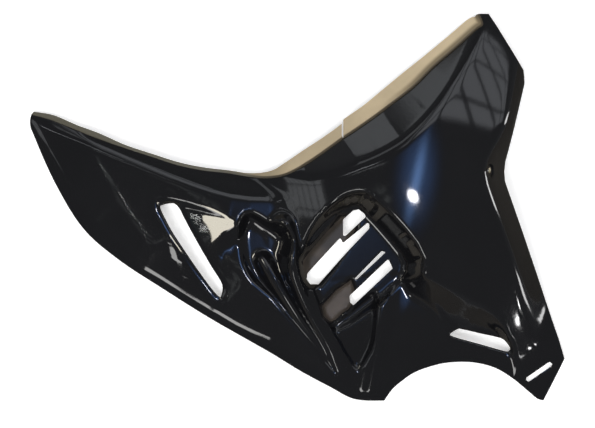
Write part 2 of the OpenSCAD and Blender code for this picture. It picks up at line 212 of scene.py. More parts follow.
# Fixing place: reach that gives its direction, its seat, the hole's clearance round the boss's bore, boss
SEAT_REACH = 4.0
SEAT_WALL = 0.4
SEAT_BLEND = 0.3
HOLE_CLEARANCE = 0.3
BOSS_RIM = 2
BOSS_GAP = 0.08
BOSS_DEPTH = 4
BOSS_EDGE = 0.4
BOSS_SIDES = 96

# Mesh: what counts as on a cut, the share of an edge's round with a row of its own, smooth angles
TOUCH = 0.05
RING_SHARE = 0.3
SHELL_SMOOTH = 42
BOSS_SMOOTH = 40

# The duct's painted brown shade fades in over this width
DUCT_FADE = 5

# Painted shade on bare plastic, in metres: how far the step's shadow and shade reach, where shade and tan set
# in
STEP_SHADOW_OUT_TO = (0.002, 0.0038)
SHADED_OUT_TO = (0.005, 0.011)
SHADE_FROM = (0.10, 0.17)
OLIVE_SHADE_UNTIL = (-0.12, 0.02)

# The photograph: millimetres for each pixel, the panel's middle and the picture's size in pixels
PIXEL = 1.37
CENTRE_PX = (297.3, 207.2)
VIEW_W, VIEW_H = 595, 428

# Stage: floor and measured height in metres, the camera, and how high the horizon's light reaches
FLOOR_W = 14
FLOOR_GAP = 0.0005
MEASURED_AT = 0.045
SENSOR_MM = 36
CLIP_END = 50
HORIZON_TOP = 0.35

# Roof beams in a window's reflection: how many, where one starts and ends, and how dark it is
ROOF_BEAMS = (7, 0.40, 0.43, 0.6)
CROSS_BEAMS = (3, 0.44, 0.46, 0.5)

# Soft lamps, which gloss doesn't show: place, size and power
LAMPS = [
    ("key_lamp", -0.8, -1.2, 3.0, 1.6, 84),
    ("fill_lamp", 1.4, 1.0, 2.6, 1.6, 42),
]

# Reflector cards, which only gloss shows: place, size, tilt, turn, colour, softness and kind
CARDS = [
    ("dark_mat", (0, 0, -0.0002), (7, 7), 0, 0, (0.22, 0.20, 0.17), 0.1, "plain"),
    ("wide_glow", (0.32, 0.20, 2.02), (2.6, 1.2), 0, 61, (0.55, 1.1, 2.6), 1, "disc"),
    ("glow_strip", (0.28, 0.12, 2.01), (2.5, 0.40), 0, 61, (1.9, 3.6, 7.6), 1, "disc"),
    ("spot", (0.16, -0.10, 1.99), (0.25, 0.18), 0, 0, (60, 60, 64), 0.3, "disc"),
    ("north_east_window", (2.6, 2.7, 2.0), (6.6, 3.1), 0, 8, (1.4, 1.45, 1.55), 0.12, "beams"),
    ("north_west_window", (-1.4, 2.5, 2.0), (1.7, 1.5), 0, 15, (1.2, 1.25, 1.3), 0.2, "beams"),
    ("west_window", (-2.95, -0.35, 2.0), (2.1, 1.3), 0, 8, (1.4, 1.45, 1.5), 0.2, "beams"),
    ("roof_mottle", (-0.75, -0.50, 2.03), (2.0, 0.9), 0, 20, (0.75, 0.8, 0.8), 0.5, "mottled"),
    ("ridge_strip", (-0.95, 0.36, 1.9), (1.3, 0.07), 0, 8, (6.0, 6.2, 6.5), 0.6, "plain"),
    ("ridge_strip_low", (-0.7, 0.16, 1.9), (1.2, 0.03), 0, 12, (3.0, 3.1, 3.2), 0.6, "plain"),
    ("north_board", (-1.3, 2.75, 0.2), (0.5, 0.5), 90, 26, (1.1, 1.15, 1.2), 0.3, "plain"),
    ("fin_board", (-0.88, -1.34, 1.67), (0.36, 1.1), 90, -35, (8, 8, 7.8), 0.25, "plain"),
    ("east_board", (2.0, 0.39, 0.16), (0.17, 0.3), 90, 100, (13, 13, 13), 0.3, "plain"),
    ("edge_board", (2.0, -0.32, 0.26), (0.26, 0.2), 90, 84, (12, 12, 12), 0.3, "plain"),
    ("low_lamp_a", (3.63, -1.64, 2.0), (0.34, 0.34), 0, 0, (60, 60, 60), 0.5, "disc"),
    ("low_lamp_b", (2.85, -1.95, 2.0), (0.3, 0.3), 0, 0, (60, 60, 60), 0.5, "disc"),
    ("wedge_lamp", (2.35, -2.2, 2.0), (0.14, 0.5), 0, 0, (16, 16, 16), 0.5, "disc"),
    ("wing_lamp_a", (-1.0, -0.56, 2.0), (0.014, 0.014), 0, 0, (160, 165, 160), 0.5, "disc"),
    ("wing_lamp_b", (-0.96, -0.615, 2.0), (0.014, 0.014), 0, 0, (160, 165, 160), 0.5, "disc"),
    ("pocket_card", (-0.138, -0.052, 0.115), (0.036, 0.054), 0, 25, (17, 16, 13.5), 0.05, "plain"),
    ("wing_lamp_c", (-1.25, -0.535, 2.0), (0.014, 0.014), 0, 0, (90, 95, 90), 0.5, "disc"),
]


# Numbers over the plan

def soft_min(a, b, r):
    """The lower of two heights, rounded where they lie within r of each other."""
    h = np.maximum(r - np.abs(a - b), 0) / r
    return np.minimum(a, b) - h ** 3 * r / 6


def soft_max(a, b, r):
    """The higher of two heights, rounded where they lie within r of each other."""
    return -soft_min(-a, -b, r)


def ease(t):
    """0 up to 0, 1 from 1, and smooth from one to the other."""
    t = np.clip(t, 0, 1)
    return t * t * (3 - 2 * t)


def rounded(d, r):
    """How far d lies from 0, with the turn at 0 rounded."""
    return np.sqrt(d * d + r * r) - r


def curve(points, steps, closed=False):
    """A smooth curve through the points, with a number of steps from each point to the next."""
    pts = np.asarray(points, float)
    n = len(pts)
    out = []
    for i in range(n if closed else n - 1):
        k = steps[i] if isinstance(steps, list) else steps
        a, b, c, d = (pts[(i + j) % n] if closed else pts[min(max(i + j, 0), n - 1)] for j in (-1, 0, 1, 2))
        for t in np.arange(k) / k:
            out.append((2 * b + (c - a) * t + (2 * a - 5 * b + 4 * c - d) * t * t
                        + (3 * b - a - 3 * c + d) * t ** 3) / 2)
    if not closed:
        out.append(pts[-1])
    return np.array(out)


def near(x, y, path, run_on=False):
    """Signed distance to a line, positive on its left, and the line's further values there."""
    best = np.full(x.shape, FAR)
    signed = np.full(x.shape, FAR)
    values = [np.zeros(x.shape) for _ in range(path.shape[1] - 2)]
    last = len(path) - 2
    for i in range(last + 1):
        a, b = path[i], path[i + 1]
        ex, ey = b[0] - a[0], b[1] - a[1]
        t = ((x - a[0]) * ex + (y - a[1]) * ey) / (ex * ex + ey * ey)
        s = np.clip(t, -FAR if run_on and i == 0 else 0, FAR if run_on and i == last else 1)
        away = np.hypot(x - a[0] - s * ex, y - a[1] - s * ey)
        closer = away < best
        best = np.where(closer, away, best)
        side = np.where(ex * (y - a[1]) - ey * (x - a[0]) < 0, -1, 1)
        signed = np.where(closer, side * away, signed)
        held = np.clip(t, 0, 1)
        for k, value in enumerate(values):
            values[k] = np.where(closer, a[2 + k] + held * (b[2 + k] - a[2 + k]), value)
    return [signed] + values


def from_outline(x, y, path):
    """Signed distance to a closed outline, negative inside, also at sharp corners."""
    inside = np.zeros(x.shape, bool)
    for a, b in zip(path[:-1], path[1:]):
        if a[1] == b[1]:
            continue
        level = (a[1] > y) != (b[1] > y)
        inside ^= level & (x < a[0] + (y - a[1]) * (b[0] - a[0]) / (b[1] - a[1]))
    return np.where(inside, -1, 1) * np.abs(near(x, y, path)[0])


def smooth_outline(outline, steps=2):
    """A closed outline as a smooth curve that ends where it starts."""
    path = curve(outline, steps, True)
    return np.vstack([path, path[:1]])


def inset(outline, r):
    """The outline drawn in by r, with its corners kept."""
    pts = np.asarray(outline, float)
    out = []
    for a, b, c in zip(np.roll(pts, 1, 0), pts, np.roll(pts, -1, 0)):
        u, v = (b - a) / np.linalg.norm(b - a), (c - b) / np.linalg.norm(c - b)
        p, q = b + r * np.array((u[1], -u[0])), b + r * np.array((v[1], -v[0]))
        turn = u[0] * v[1] - u[1] * v[0]
        s = 0 if abs(turn) < TINY else ((q - p)[0] * v[1] - (q - p)[1] * v[0]) / turn
        out.append(p + u * s)
    return np.vstack([out, out[:1]])


LINES = {
    name: curve(points, 2) for name, points in dict(
        ground=GROUND, spine=SPINE, shoulder=SHOULDER, upper_facet=UPPER_FACET, scoop=SCOOP,
        rear_fold=REAR_FOLD, lower_fold=LOWER_FOLD, wing_fold=WING_FOLD, tongue=TONGUE, fin=FIN,
        web=WEB, low_rib=LOW_RIB).items()}
POCKETS = {
    name: smooth_outline(points) for name, points in dict(
        vent=VENT, duct=DUCT, sump=SUMP, wing=WING_POCKET, centre=CENTRE_POCKET, leaf=LEAF,
        wing_rim=WING_SLOT, low_rim=LOW_SLOT).items()}


def ridge(x, y, name):
    """A crest that falls away on both sides of its line."""
    fall, crest = FLANKS[name]
    d, z = near(x, y, LINES[name])
    return z - fall * rounded(d, crest)


def edge_slope(x, y, name):
    """A slope through a line: the line's height, and its own rise for each millimetre to its left."""
    d, z, s = near(x, y, LINES[name], True)
    return z + s * d


def pocket(x, y, name):
    """A pocket's floor, with walls that rise towards and beyond its outline."""
    floor, (wall, inset_by, foot) = FLOORS[name], WALLS[name]
    d = from_outline(x, y, POCKETS[name])
    return floor[0] + floor[1] * x + floor[2] * y + wall * soft_max(0 * d, d + inset_by, foot)


def sink(x, y, name):
    """How far an area lies under what surrounds it."""
    depth, run = SINKS[name]
    return depth * ease(0.5 - from_outline(x, y, POCKETS[name]) / run)


def skin(x, y, panel):
    """Height of the painted skin over the plan, before the panel is set down."""
    d, z = near(x, y, LINES["ground"])
    rib = near(x, y, LINES["low_rib"])[0] / RIB_HALF_W
    low = z - GROUND_FALL * rounded(d, GROUND_ROUND) + RIB_RISE * np.exp(-rib * rib)
    d, z, s = near(x, y, LINES["spine"])
    wing = z - np.where(d > 0, ROOF_FALL, s) * rounded(d, ROOF_ROUND)
    d = near(x, y, LINES["wing_fold"], True)[0]
    wing = wing - WING_FOLD_FALL * soft_max(0 * d, d, WING_FOLD_ROUND)
    wing = soft_min(wing, edge_slope(x, y, "shoulder"), SCOOP_BLEND)
    dx, dy = x - CROWN_AT[0], y - CROWN_AT[1]
    along, across, between = CROWN_BEND
    crown = panel.crown_height / MM - along * dx * dx - across * dy * dy - between * dx * dy
    crown = soft_min(crown, edge_slope(x, y, "upper_facet"), FACET_BLEND)
    crown = soft_min(crown, edge_slope(x, y, "scoop"), SCOOP_BLEND)
    d, s = near(x, y, LINES["rear_fold"], True)
    crown = crown - s * soft_max(0 * d, d, REAR_FOLD_ROUND)
    z = soft_max(soft_max(low, wing, BROAD_BLEND), crown, BULGE_BLEND)
    z = soft_max(z, ridge(x, y, "web"), CREST_BLEND)
    z = soft_min(z, pocket(x, y, "vent"), POCKET_BLEND)
    z = soft_max(z, ridge(x, y, "tongue"), POCKET_BLEND)
    z = soft_min(z, pocket(x, y, "wing"), POCKET_BLEND)
    z = soft_min(z, pocket(x, y, "centre"), POCKET_BLEND)
    z = soft_max(z, ridge(x, y, "fin"), CREST_BLEND)
    d = near(x, y, LINES["lower_fold"], True)[0]
    z = z - LOWER_FOLD_FALL * soft_max(0 * d, -d, LOWER_FOLD_ROUND)
    for name in SINKS:
        z = z - sink(x, y, name)
    return z


def slope(x, y, panel, reach):
    """The skin's slope along and across the panel, from heights a reach away on both sides."""
    return ((skin(x + reach, y, panel) - skin(x - reach, y, panel)) / (2 * reach),
            (skin(x, y + reach, panel) - skin(x, y - reach, panel)) / (2 * reach))


def set_down(x, y, z):
    """Height over the floor, once the panel stands on its three rim points."""
    a, b, c = (np.array(p, float) for p in REST_POINTS)
    n = np.cross(b - a, c - a)
    return z - (a[2] - (n[0] * (x - a[0]) + n[1] * (y - a[1])) / n[2])


def fixing_axis(panel):
    """Where the fixing hole meets the skin, and which way it points."""
    x, y = np.array([float(FIXING_AT[0])]), np.array([float(FIXING_AT[1])])
    sx, sy = slope(x, y, panel, SEAT_REACH)
    n = np.array((-sx[0], -sy[0], 1.0))
    return np.array((x[0], y[0], set_down(x, y, skin(x, y, panel))[0])), n / np.linalg.norm(n)


# The sheet: plan points and the faces between them, which lines of a field can cut

def halves(ring, side):
    """The parts of a face on the two sides of a cut, whose own points have side 0."""
    cut = [i for i, s in enumerate(side) if s == 0]
    for n, i in enumerate(cut):
        for j in cut[n + 1:]:
            one, two = ring[i:j + 1], ring[j:] + ring[:i + 1]
            if len(one) < 3 or len(two) < 3:
                continue
            marks = [{s for s in part if s} for part in (side[i:j + 1], side[j:] + side[:i + 1])]
            if len(marks[0]) == 1 and len(marks[1]) == 1 and marks[0] != marks[1]:
                return tuple(one), tuple(two)
    return (tuple(ring),)


class Sheet:
    """Plan points with a height where it is already known, and faces that are painted or bare."""

    def __init__(self, places, faces, painted):
        self.x, self.y = places[:, 0], places[:, 1]
        self.z = places[:, 2]
        self.faces = faces
        self.painted = painted

    def split(self, field, level):
        """Adds points and edges where the field crosses a level."""
        value = field(self.x, self.y) - level
        value[np.abs(value) < TOUCH] = 0
        sign = np.sign(value).astype(int)
        made, new = {}, []
        faces, painted = [], []
        for face, paint in zip(self.faces, self.painted):
            marks = [sign[v] for v in face]
            if min(marks) >= 0 or max(marks) <= 0:
                faces.append(face)
                painted.append(paint)
                continue
            ring, side = [], []
            for p, q in zip(face, face[1:] + face[:1]):
                ring.append(p)
                side.append(sign[p])
                if sign[p] * sign[q] < 0:
                    key = (min(p, q), max(p, q))
                    if key not in made:
                        made[key] = len(self.x) + len(new)
                        t = value[key[0]] / (value[key[0]] - value[key[1]])
                        new.append([old[key[0]] + t * (old[key[1]] - old[key[0]])
                                    for old in (self.x, self.y, self.z)])
                    ring.append(made[key])
                    side.append(0)
            for part in halves(ring, side):
                faces.append(part)
                painted.append(paint)
        if new:
            new = np.array(new)
            self.x, self.y, self.z = (
                np.append(old, new[:, k]) for k, old in enumerate((self.x, self.y, self.z)))
        self.faces, self.painted = faces, painted

    def drop(self, inside):
        """Deletes the faces whose middle lies inside."""
        middle = np.array([(self.x[list(f)].mean(), self.y[list(f)].mean()) for f in self.faces])
        gone = inside(middle[:, 0], middle[:, 1])
        self.faces = [f for f, g in zip(self.faces, gone) if not g]
        self.painted = [p for p, g in zip(self.painted, gone) if not g]


def plan_sheet(panel):
    """The whole plan in faces, and the painted outline: rows run from the flange to the lower edge."""
    k = panel.column_cuts
    steps = [n * k for n in STEPS]
    rows = REAR_PARTS * panel.row_cuts
    flange, upper = curve(FLANGE_EDGE, steps), curve(PAINTED_EDGE, steps)
    first = curve(LOWER_EDGE[:ARCH_CORNER + 1], steps[:ARCH_CORNER])
    lower = np.vstack([first[:-1], curve(LOWER_EDGE[ARCH_CORNER:], steps[ARCH_CORNER:])])
    n = len(upper)
    u = (np.arange(n) / (n - 1))[:, None]
    rear = np.array(REAR_EDGE, float)
    places = []
    drop = panel.flange_step / MM
    width = np.linalg.norm(flange - upper, axis=1)
    foot = np.minimum(0.5, STEP_RUN / width)
    top = skin(upper[:, 0], upper[:, 1], panel)
    for t in FLANGE_ROWS:
        share = t * (1 - foot) + foot
        at = upper + share[:, None] * (flange - upper)
        z = top - drop * np.minimum(1, width / FULL_STEP) - FLANGE_FALL * (share - foot) * width
        places.append(np.column_stack([at, z]))
    for j in range(rows + 1):
        v = j / rows
        end = np.array([np.interp(v * REAR_PARTS, rear[:, 0], rear[:, i]) for i in (1, 2)])
        pull = end - (upper[-1] + v * (lower[-1] - upper[-1]))
        at = upper + v * (lower - upper) + u ** REAR_BIAS * pull
        at[:, 0] -= (1 - u[:, 0]) ** TIP_BIAS * TIP_BULGE * v * (1 - v)
        places.append(np.column_stack([at, np.full(n, np.nan)]))
    deep = len(places)
    places = np.array(places).transpose(1, 0, 2).reshape(-1, 3)
    faces, painted = [], []
    for i in range(n - 1):
        for r in range(deep - 1):
            a, b = i * deep + r, (i + 1) * deep + r
            faces.append((a, a + 1, b + 1, b))
            painted.append(r >= len(FLANGE_ROWS))
    tip = [upper[0] + v * (lower[0] - upper[0]) - (TIP_BULGE * v * (1 - v), 0) for v in TIP_SHARES]
    outline = np.vstack([upper, [rear[k][1:] for k in range(1, len(rear))], lower[::-1][1:], tip, upper[:1]])
    return Sheet(places, faces, painted), outline


def capsule(x, y, ends, radius):
    """Signed distance to a slot with round ends, negative inside."""
    a, b = (np.array(p, float) for p in ends)
    e = b - a
    t = np.clip(((x - a[0]) * e[0] + (y - a[1]) * e[1]) / (e @ e), 0, 1)
    return np.hypot(x - a[0] - t * e[0], y - a[1] - t * e[1]) - radius


def hole_distance(x, y, z, fixing):
    """Distance from the fixing hole's middle line."""
    at, n = fixing
    d = np.stack([x - at[0], y - at[1], z - at[2]])
    along = (d * n[:, None]).sum(0)
    return np.sqrt(np.maximum((d * d).sum(0) - along * along, 0))


def seat_floor(x, y, panel, fixing):
    """Height of the flat seat, which lies square to the fixing hole."""
    at, n = fixing
    return at[2] - (panel.seat_depth / MM + n[0] * (x - at[0]) + n[1] * (y - at[1])) / n[2]


def opening_fields(panel):
    """Signed distance to each opening, negative inside."""
    corners = {"vent_top": (VENT_TOP, VENT_CORNER), "vent_upper": (VENT_UPPER, VENT_CORNER),
               "vent_sliver": (VENT_SLIVER, SLIVER_CORNER), "vent_lower": (VENT_LOWER, VENT_CORNER)}
    fields = {
        "wing_slot": lambda x, y, p=smooth_outline(WING_SLOT, 5): from_outline(x, y, p),
        "low_slot": lambda x, y, p=smooth_outline(LOW_SLOT, 5): from_outline(x, y, p),
        "adjust": lambda x, y: capsule(x, y, ADJUST_SLOT, panel.adjust_width / MM / 2),
    }
    for name, (points, r) in corners.items():
        fields[name] = lambda x, y, p=inset(points, r), r=r: from_outline(x, y, p) - r
    return fields


def shell_points(panel, sheet, gap, rim):
    """Outer and inner heights of the sheet's points."""
    x, y = sheet.x, sheet.y
    bare = ~np.isnan(sheet.z)
    z = set_down(x, y, np.where(bare, sheet.z, skin(x, y, panel)))
    tris = np.array([(f[0], f[k], f[k + 1]) for f in sheet.faces for k in range(1, len(f) - 1)])
    p = np.column_stack([x, y, z])
    n = np.cross(p[tris[:, 1]] - p[tris[:, 0]], p[tris[:, 2]] - p[tris[:, 0]])
    total = np.zeros_like(p)
    for k in range(3):
        np.add.at(total, tris[:, k], n)
    lean = np.linalg.norm(total, axis=1) / np.maximum(np.abs(total[:, 2]), TINY)
    inner = z - panel.wall / MM * np.minimum(STEEPEST, np.maximum(lean, 1))
    # The flat seat of the fixing hole
    fixing = fixing_axis(panel)
    seat_r = panel.seat_diameter / MM / 2
    floor = seat_floor(x, y, panel, fixing)
    above = hole_distance(x, y, z, fixing)
    below = hole_distance(x, y, floor, fixing)
    whole = np.maximum(SEAT_BLEND, seat_r - above + np.maximum(below - seat_r, 0))
    share = np.clip((seat_r - above) / whole, 0, 1)
    outer = z + share * (np.minimum(floor, z) - z)
    # Painted edges fall away in a small round
    edge = np.clip(np.minimum(gap(x, y), -rim(x, y)), 0, None)
    r = panel.edge_round / MM
    short = np.clip(r - edge, 0, r)
    return np.where(bare, outer, outer - (r - np.sqrt(r * r - short * short))), inner


def build_shell(panel):
    """The shell's mesh: the sheet cut to shape, doubled to a wall and closed along its rims."""
    sheet, outline = plan_sheet(panel)
    fields = opening_fields(panel)
    r = panel.edge_round / MM

    def gap(x, y):
        return np.min([field(x, y) for field in fields.values()], axis=0)

    def rim(x, y):
        return from_outline(x, y, outline)

    for level in (0, RING_SHARE * r, r):
        sheet.split(gap, level)
    sheet.drop(lambda x, y: gap(x, y) < 0)
    for level in (-RING_SHARE * r, -r):
        sheet.split(rim, level)
    # The relief slit through the flange
    half = panel.slit_width / MM / 2
    for side in (-half, half):
        sheet.split(lambda x, y, s=side: x - SLIT_X - s, 0)
    sheet.drop(lambda x, y: (np.abs(x - SLIT_X) < half) & (y > SLIT_FOOT) & (rim(x, y) > 0))
    # The seat and the hole through it
    fixing = fixing_axis(panel)
    seat_r = panel.seat_diameter / MM / 2

    def on_skin(x, y):
        return hole_distance(x, y, set_down(x, y, skin(x, y, panel)), fixing)

    def on_floor(x, y):
        return hole_distance(x, y, seat_floor(x, y, panel, fixing), fixing)

    for level in (seat_r, seat_r - SEAT_WALL):
        sheet.split(on_skin, level)
    sheet.split(on_floor, seat_r)
    hole_r = panel.fixing_diameter / MM / 2 + HOLE_CLEARANCE
    sheet.split(on_floor, hole_r)
    sheet.drop(lambda x, y: on_floor(x, y) < hole_r)
    outer, inner = shell_points(panel, sheet, gap, rim)

    count = len(sheet.x)
    # A side that no neighbouring face runs back along lies on a rim. A dict keeps their order.
    sides = dict.fromkeys(side for face in sheet.faces for side in zip(face, face[1:] + face[:1]))
    rim_edges = [(a, b) for a, b in sides if (b, a) not in sides]
    faces = list(sheet.faces)
    faces += [tuple(v + count for v in reversed(face)) for face in sheet.faces]
    faces += [(b, a, a + count, b + count) for a, b in rim_edges]
    places = np.vstack([np.column_stack([sheet.x, sheet.y, outer]),
                        np.column_stack([sheet.x, sheet.y, inner])]) * MM
    # What the material reads: bare and cut faces, how far out on the flange a point is, and the duct.
    # The last two place painted shade.
    on_top = [0.0 if painted else 1.0 for painted in sheet.painted]
    bare = on_top + [1.0] * (len(sheet.faces) + len(rim_edges))
    cut = [0.0] * (2 * len(sheet.faces)) + [1.0] * len(rim_edges)
    duct, sump = (
        ease(0.5 - from_outline(sheet.x, sheet.y, POCKETS[name]) / DUCT_FADE) for name in ("duct", "sump"))
    used = np.zeros(2 * count, bool)
    for face in faces:
        used[list(face)] = True
    index = np.cumsum(used) - 1
    mesh = bpy.data.meshes.new("moulded_shell")
    mesh.from_pydata(places[used].tolist(), [], [[int(index[v]) for v in f] for f in faces])
    ledge = np.tile(np.maximum(rim(sheet.x, sheet.y), 0) * MM, 2)[used]
    for name, kind, values in (("bare", "FACE", bare), ("cut", "FACE", cut), ("ledge", "POINT", ledge),
                               ("duct", "POINT", np.tile(np.maximum(duct, sump), 2)[used])):
        layer = mesh.attributes.new(name, "FLOAT", kind)
        layer.data.foreach_set("value", np.asarray(values, np.float32))
    mesh.validate()
    shell = bpy.data.objects.new("moulded_shell", mesh)
    bpy.context.scene.collection.objects.link(shell)
    return shell


# Shader maths

class Field:
    """A value or colour on its way through the nodes, which adds the nodes that an expression needs."""

    def __init__(self, tree, socket):
        self.tree, self.socket = tree, socket

    def math(self, operation, other=0.0, swap=False):
        a, b = (other, self) if swap else (self, other)
        return self.tree.add("ShaderNodeMath", {"operation": operation}, {0: a, 1: b})

    def __add__(self, other):
        return self.math("ADD", other)

    def __radd__(self, other):
        return self.math("ADD", other)

    def __sub__(self, other):
        return self.math("SUBTRACT", other)

    def __rsub__(self, other):
        return self.math("SUBTRACT", other, swap=True)

    def __mul__(self, other):
        return self.math("MULTIPLY", other)

    def __rmul__(self, other):
        return self.math("MULTIPLY", other)

    def clip(self):
        return self.tree.add("ShaderNodeMath", {"operation": "ADD", "use_clamp": True}, {0: self, 1: 0.0})

    def between(self, low, high):
        """0 under low, 1 over high, and smooth from one to the other."""
        return self.tree.add("ShaderNodeMapRange", {"interpolation_type": "SMOOTHSTEP"},
                             {"Value": self, "From Min": low, "From Max": high})


class Tree:
    """The nodes of one material, or of the world."""

    def __init__(self, name, worlds=False):
        self.material = (bpy.data.worlds if worlds else bpy.data.materials).new(name)
        self.material.use_nodes = True
        self.nodes, self.links = self.material.node_tree.nodes, self.material.node_tree.links
        self.nodes.clear()

    def add(self, kind, settings=None, sockets=None, out=0):
        """Adds a node, first with its settings and then with its values and links, and gives one output."""
        node = self.nodes.new(kind)
        for name, value in (settings or {}).items():
            setattr(node, name, value)
        for name, value in (sockets or {}).items():
            if isinstance(value, Field):
                self.links.new(value.socket, node.inputs[name])
            else:
                node.inputs[name].default_value = value
        return Field(self, node.outputs[out])

    def mix(self, low, high, share):
        def full(c):
            return c if isinstance(c, Field) else (*c, 1)
        return self.add(
            "ShaderNodeMix", {"data_type": "RGBA"}, {0: share, 6: full(low), 7: full(high)}, out=2)

    def place(self):
        return self.add("ShaderNodeTexCoord", out=3)

    def attribute(self, name):
        return self.add("ShaderNodeAttribute", {"attribute_name": name}, out=2)

    def noise(self, at, scale, detail=2.0, rough=0.5):
        return self.add("ShaderNodeTexNoise", {}, {"Vector": at, "Scale": scale, "Detail": detail,
                                                   "Roughness": rough})

    def along(self, at, axis):
        return self.add("ShaderNodeSeparateXYZ", {}, {0: at}, out=axis)

    def close(self, shader, kind="ShaderNodeOutputMaterial"):
        self.links.new(shader.socket, self.nodes.new(kind).inputs[0])

    def finish(self, **sockets):
        node = self.nodes.new("ShaderNodeBsdfPrincipled")
        for name, value in sockets.items():
            name = name.replace("_", " ")
            if isinstance(value, Field):
                self.links.new(value.socket, node.inputs[name])
            else:
                node.inputs[name].default_value = value
        self.close(Field(self, node.outputs[0]))
        return self.material


def srgb(*c):
    """A screen colour out of 255, as the linear one that Blender works in."""
    return tuple(v / 12.92 / 255 if v <= 10.3 else ((v / 255 + 0.055) / 1.055) ** 2.4 for v in c)


# Colours of the bare plastic. The shaded tan, the step's brown and the olive are painted shade.
SHADED_TAN = srgb(112, 99, 75)
STEP_SHADOW_BROWN = srgb(74, 65, 50)
OLIVE_SHADE = srgb(83, 79, 66)
CUT_TAN = srgb(206, 198, 178)
# The duct's two browns are painted shade in the vent's recess.
DUCT_SHADE_LIGHT, DUCT_SHADE_DARK = srgb(74, 66, 59), srgb(44, 40, 36)
BOSS_LIGHT, BOSS_DARK = srgb(212, 203, 178), srgb(190, 180, 156)


def lacquered_shell(panel):
    """Black lacquer on the painted shell, bare tan plastic elsewhere, and painted shade in brown and olive.
    """
    t = Tree("lacquered_shell")
    at = t.place()
    bare, cut, duct, ledge = (t.attribute(name) for name in ("bare", "cut", "duct", "ledge"))
    in_duct = duct.between(0.35, 0.65)
    right = t.along(at, 0)
    mottle = t.noise(at, 9.0, 4.0, 0.55)
    grain = t.noise(at, 420.0, 3.0, 0.6)
    tan = t.mix(tuple(panel.bare_colour), tuple(c * 0.72 for c in panel.bare_colour),
                mottle.between(0.35, 0.7))
    # Painted shade: the flange is shaded beside the step on the right, with a painted shadow along the step's
    # foot. The back lies under no ledge, so that painted shadow covers it all over. Towards the left end all
    # bare plastic takes an olive painted shade.
    shade = (1 - ledge.between(*SHADED_OUT_TO)) * right.between(*SHADE_FROM)
    tan = t.mix(tan, SHADED_TAN, shade)
    tan = t.mix(STEP_SHADOW_BROWN, tan, ledge.between(*STEP_SHADOW_OUT_TO))
    tan = t.mix(OLIVE_SHADE, tan, right.between(*OLIVE_SHADE_UNTIL))
    tan = t.mix(tan, CUT_TAN, cut)
    # Painted shade: the duct is darkened to brown, in random lighter and darker patches
    brown = t.mix(DUCT_SHADE_LIGHT, DUCT_SHADE_DARK, t.noise(at, 26.0, 3.0).between(0.3, 0.7))
    black = t.mix(tuple(panel.lacquer_colour), tuple(c * 1.6 for c in panel.lacquer_colour), mottle)
    black = t.mix(black, brown, in_duct)
    base = t.mix(black, tan, bare)
    matt = (bare + in_duct).clip()
    specks = t.noise(at, 900.0, 1.0).between(0.74, 0.8)
    rough = 0.055 + 0.03 * t.noise(at, 60.0, 3.0) + 0.1 * specks + matt * 0.42
    peel = t.noise(at, 260.0, 1.5, 0.4) * (1 - matt) * 0.25 + grain * matt
    bump = t.add("ShaderNodeBump", {}, {"Strength": 0.12, "Distance": 0.0004, "Height": peel})
    return t.finish(Base_Color=base, Roughness=rough, Normal=bump, IOR=1.5)


def bare_boss():
    """Pale bare plastic of the boss, with a fine grain."""
    t = Tree("bare_boss")
    at = t.place()
    tan = t.mix(BOSS_LIGHT, BOSS_DARK, t.noise(at, 40.0, 3.0))
    grain = t.noise(at, 420.0, 3.0)
    bump = t.add("ShaderNodeBump", {}, {"Strength": 0.1, "Distance": 0.0004, "Height": grain})
    return t.finish(Base_Color=tan, Roughness=0.5, Normal=bump)


def deselect():
    if bpy.context.mode != "OBJECT":
        bpy.ops.object.mode_set(mode="OBJECT")
    bpy.ops.object.select_all(action="DESELECT")


def only(obj):
    deselect()
    obj.select_set(True)
    bpy.context.view_layer.objects.active = obj


def hand_over(obj, material):
    """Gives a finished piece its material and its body."""
    obj.data.materials.clear()
    obj.data.materials.append(material)
    only(obj)
    bpy.ops.object.transform_apply(location=True, rotation=True, scale=True)
    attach(obj, "root")
    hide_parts(NODE)


class PanelSettings(bpy.types.PropertyGroup):
    wall: bpy.props.FloatProperty(
        name="Wall", description="Thickness of the moulded wall", default=0.003, unit="LENGTH")
    crown_height: bpy.props.FloatProperty(
        name="Crown height", description="Height of the crown over the ground of the form",
        default=0.092, unit="LENGTH")
    flange_step: bpy.props.FloatProperty(
        name="Flange step", description="Step down from the lacquered skin to the bare flange",
        default=0.003, unit="LENGTH")
    slit_width: bpy.props.FloatProperty(
        name="Slit width", description="Width of the relief slit in the flange",
        default=0.002, unit="LENGTH")
    edge_round: bpy.props.FloatProperty(
        name="Edge round", description="Radius of the lacquered edges", default=0.0009, unit="LENGTH")
    fixing_diameter: bpy.props.FloatProperty(
        name="Fixing hole", description="Diameter of the fixing hole", default=0.0066, unit="LENGTH")
    seat_diameter: bpy.props.FloatProperty(
        name="Seat", description="Diameter of the flat seat around the fixing hole",
        default=0.018, unit="LENGTH")
    seat_depth: bpy.props.FloatProperty(
        name="Seat depth", description="Depth of the seat under the skin", default=0.0015, unit="LENGTH")
    adjust_width: bpy.props.FloatProperty(
        name="Adjusting slot", description="Width of the adjusting slot", default=0.0065, unit="LENGTH")
    column_cuts: bpy.props.IntProperty(
        name="Column cuts", description="Mesh columns for each column of the source", default=4, min=1)
    row_cuts: bpy.props.IntProperty(
        name="Row cuts", description="Mesh rows for each row of the source", default=4, min=1)
    lacquer_colour: bpy.props.FloatVectorProperty(
        name="Lacquer", description="Colour of the lacquer", subtype="COLOR",
        default=(0.0042, 0.0042, 0.0048))
    bare_colour: bpy.props.FloatVectorProperty(
        name="Bare plastic", description="Colour of the unpainted plastic", subtype="COLOR",
        default=srgb(190, 172, 140))


